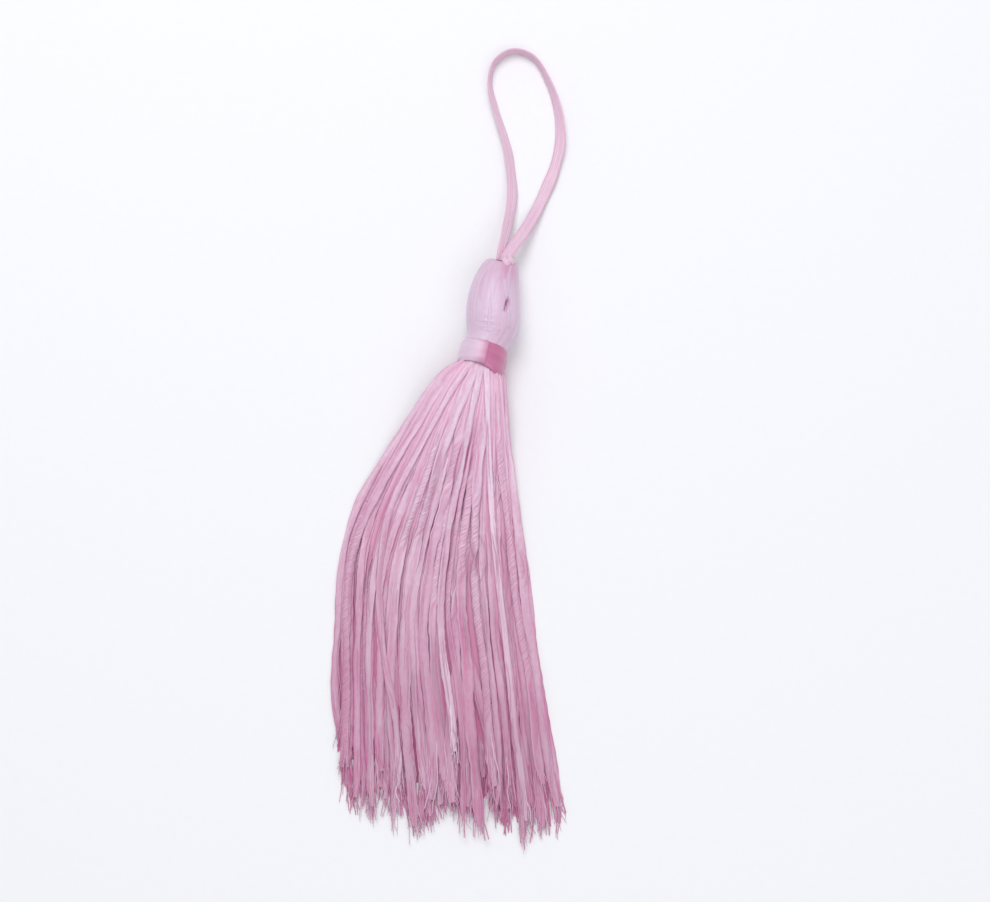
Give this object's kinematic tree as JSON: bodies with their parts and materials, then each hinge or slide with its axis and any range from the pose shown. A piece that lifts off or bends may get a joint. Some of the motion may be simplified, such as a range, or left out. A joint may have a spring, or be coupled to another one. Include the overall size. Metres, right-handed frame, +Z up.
{
  "type": "yarn tassel",
  "caption": "Silky yarn tassel lying on its back: egg-shaped gathered head, satin ribbon at the neck, skirt of loose cut yarns and a flat hanging loop.",
  "frame": {"origin": "middle of the small flat spot under the head, on the surface that the tassel lies on", "axes": "+Y along the head towards the hanging loop, -Y towards the skirt's cut ends, +Z up, +X to the tassel's right seen from above"},
  "size_m": [0.0383, 0.1181, 0.0076],
  "materials": {
    "yarn": "silky pink floss with a soft sheen along the strands",
    "ribbon": "pink satin ribbon, bright across its weave",
    "cord": "flat soft pink satin cord"
  },
  "bodies": {
    "root": {"yarn": "yarn", "neck_band": "ribbon", "loop_knot": "cord", "hanging_loop": "cord"}
  },
  "joints": []
}
